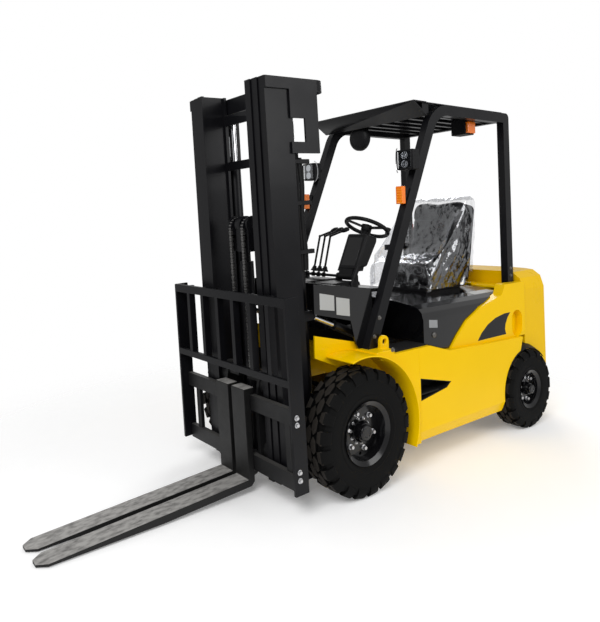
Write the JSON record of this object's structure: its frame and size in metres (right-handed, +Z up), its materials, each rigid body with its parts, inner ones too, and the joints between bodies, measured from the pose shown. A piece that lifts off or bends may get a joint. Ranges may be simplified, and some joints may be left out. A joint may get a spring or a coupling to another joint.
{
  "type": "counterbalance forklift truck with three-stage mast",
  "caption": "Yellow diesel counterbalance forklift with a black three-stage mast, overhead guard, load backrest and forks lowered to park.",
  "frame": {"origin": "On the ground under the middle of the overall length, in the symmetry plane of the truck.", "axes": "+X forward towards the fork tips, +Y to the truck's left, +Z up."},
  "size_m": [3.6968, 1.15, 2.2129],
  "materials": {
    "body_paint": "gloss",
    "black_paint": "satin",
    "black_plastic": "satin",
    "mat_rubber": "matte",
    "tyre_rubber": "matte",
    "fork_steel": "satin",
    "chain_steel": "satin",
    "rod_chrome": "gloss",
    "cast_weight": "gloss",
    "engine_iron": "matte",
    "seat_vinyl": "satin",
    "clear_panel": "gloss",
    "lamp_glass": "gloss",
    "amber": "gloss",
    "red_lens": "gloss",
    "wheel_paint": "satin"
  },
  "bodies": {
    "chassis": {"frame": "body_paint", "fenders": "body_paint", "steps": "mat_rubber", "floor_plate": "mat_rubber", "cowl": "black_plastic", "console": "black_plastic", "controls": "black_plastic", "side_covers": "body_paint", "counterweight": "cast_weight", "grille": "black_paint", "tow_pin": "rod_chrome", "radiator_cover": "black_plastic", "overhead_guard": "black_paint", "roof_panel": "clear_panel", "lamps": "black_plastic", "lamp_lenses": "lamp_glass", "signal_lenses": "amber", "rear_mirror": "black_plastic", "rear_lamps": "red_lens", "engine": "engine_iron", "front_axle": "black_paint", "steer_axle": "black_paint"},
    "steer_column": {"column": "black_plastic", "steering_wheel": "black_plastic", "levers": "black_plastic"},
    "hood_lid": {"hood": "black_paint", "seat_base": "black_plastic", "seat_cushion": "seat_vinyl", "seat_back": "seat_vinyl"},
    "wheel_fl": {"tyre_fl": "tyre_rubber", "rim_fl": "wheel_paint"},
    "wheel_fr": {"tyre_fr": "tyre_rubber", "rim_fr": "wheel_paint"},
    "steer_left": {"knuckle_left": "black_paint"},
    "steer_right": {"knuckle_right": "black_paint"},
    "wheel_rl": {"tyre_rl": "tyre_rubber", "rim_rl": "wheel_paint"},
    "wheel_rr": {"tyre_rr": "tyre_rubber", "rim_rr": "wheel_paint"},
    "outer_stage": {"mast_outer": "black_paint"},
    "middle_stage": {"mast_middle": "black_paint", "lift_rods": "rod_chrome"},
    "inner_stage": {"mast_inner": "black_paint", "chains_rear": "chain_steel"},
    "free_rod": {"crosshead": "black_paint", "chains_front": "chain_steel"},
    "fork_carriage": {"carriage": "black_paint", "backrest": "black_paint"},
    "left_fork": {"fork_left": "fork_steel"},
    "right_fork": {"fork_right": "fork_steel"},
    "tilt_tube": {"tilt_barrels": "black_paint"},
    "tilt_rod": {"tilt_rods": "rod_chrome"}
  },
  "joints": [
    {"name": "mast_tilt", "type": "hinge", "parent": "chassis", "child": "outer_stage", "pos_m": [0.26156, 0, 0.334], "axis": [0, 1, 0], "range_deg": [-8, 4]},
    {"name": "mast_lift", "type": "slide", "parent": "outer_stage", "child": "middle_stage", "axis": [0.0349, 0, 0.9994], "range_m": [0, 1.55]},
    {"name": "inner_lift", "type": "slide", "parent": "middle_stage", "child": "inner_stage", "axis": [0.0349, 0, 0.9994], "range_m": [0, 1.55]},
    {"name": "free_lift", "type": "slide", "parent": "inner_stage", "child": "free_rod", "axis": [0.0349, 0, 0.9994], "range_m": [0, 0.65], "deforming": ["chains_rear"]},
    {"name": "carriage_lift", "type": "slide", "parent": "free_rod", "child": "fork_carriage", "axis": [0.0349, 0, 0.9994], "range_m": [0, 0.65], "deforming": ["chains_front"]},
    {"name": "fork_left_shift", "type": "slide", "parent": "fork_carriage", "child": "left_fork", "axis": [0, 1, 0], "range_m": [0, 0.37]},
    {"name": "fork_right_shift", "type": "slide", "parent": "fork_carriage", "child": "right_fork", "axis": [0, -1, 0], "range_m": [0, 0.37]},
    {"name": "tilt_barrel_swing", "type": "hinge", "parent": "chassis", "child": "tilt_tube", "pos_m": [-0.27844, 0, 0.64], "axis": [0, 1, 0], "range_deg": [-4.21, 2.11]},
    {"name": "tilt_rod_slide", "type": "slide", "parent": "tilt_tube", "child": "tilt_rod", "axis": [0.9174, 0, 0.3979], "range_m": [-0.07006, 0.03503]},
    {"name": "wheel_fl_spin", "type": "hinge", "parent": "chassis", "child": "wheel_fl", "pos_m": [0.26156, 0.48, 0.334], "axis": [0, 1, 0], "continuous": true},
    {"name": "wheel_fr_spin", "type": "hinge", "parent": "chassis", "child": "wheel_fr", "pos_m": [0.26156, -0.48, 0.334], "axis": [0, 1, 0], "continuous": true},
    {"name": "steer", "type": "hinge", "parent": "chassis", "child": "steer_left", "pos_m": [-1.32844, 0.373, 0.262], "axis": [0, 0, 1], "range_deg": [-75, 75]},
    {"name": "steer_right", "type": "hinge", "parent": "chassis", "child": "steer_right", "pos_m": [-1.32844, -0.373, 0.262], "axis": [0, 0, 1], "range_deg": [-75, 75]},
    {"name": "wheel_rl_spin", "type": "hinge", "parent": "steer_left", "child": "wheel_rl", "pos_m": [-1.32844, 0.493, 0.262], "axis": [0, 1, 0], "continuous": true},
    {"name": "wheel_rr_spin", "type": "hinge", "parent": "steer_right", "child": "wheel_rr", "pos_m": [-1.32844, -0.493, 0.262], "axis": [0, 1, 0], "continuous": true},
    {"name": "hood_open", "type": "hinge", "parent": "chassis", "child": "hood_lid", "pos_m": [-1.24444, 0, 0.963], "axis": [0, -1, 0], "range_deg": [0, 60]},
    {"name": "column_tip", "type": "hinge", "parent": "chassis", "child": "steer_column", "pos_m": [-0.17844, 0, 1.09], "axis": [0, 1, 0], "range_deg": [0, 48]}
  ],
  "couplings": [
    {"joint": "column_tip", "follows": "hood_open", "ratio": 0.8},
    {"joint": "inner_lift", "follows": "mast_lift", "ratio": 1},
    {"joint": "carriage_lift", "follows": "free_lift", "ratio": 1},
    {"joint": "steer_right", "follows": "steer", "ratio": 1},
    {"joint": "tilt_barrel_swing", "follows": "mast_tilt", "ratio": 0.52627},
    {"joint": "tilt_rod_slide", "follows": "mast_tilt", "m_per_rad": 0.50178}
  ]
}
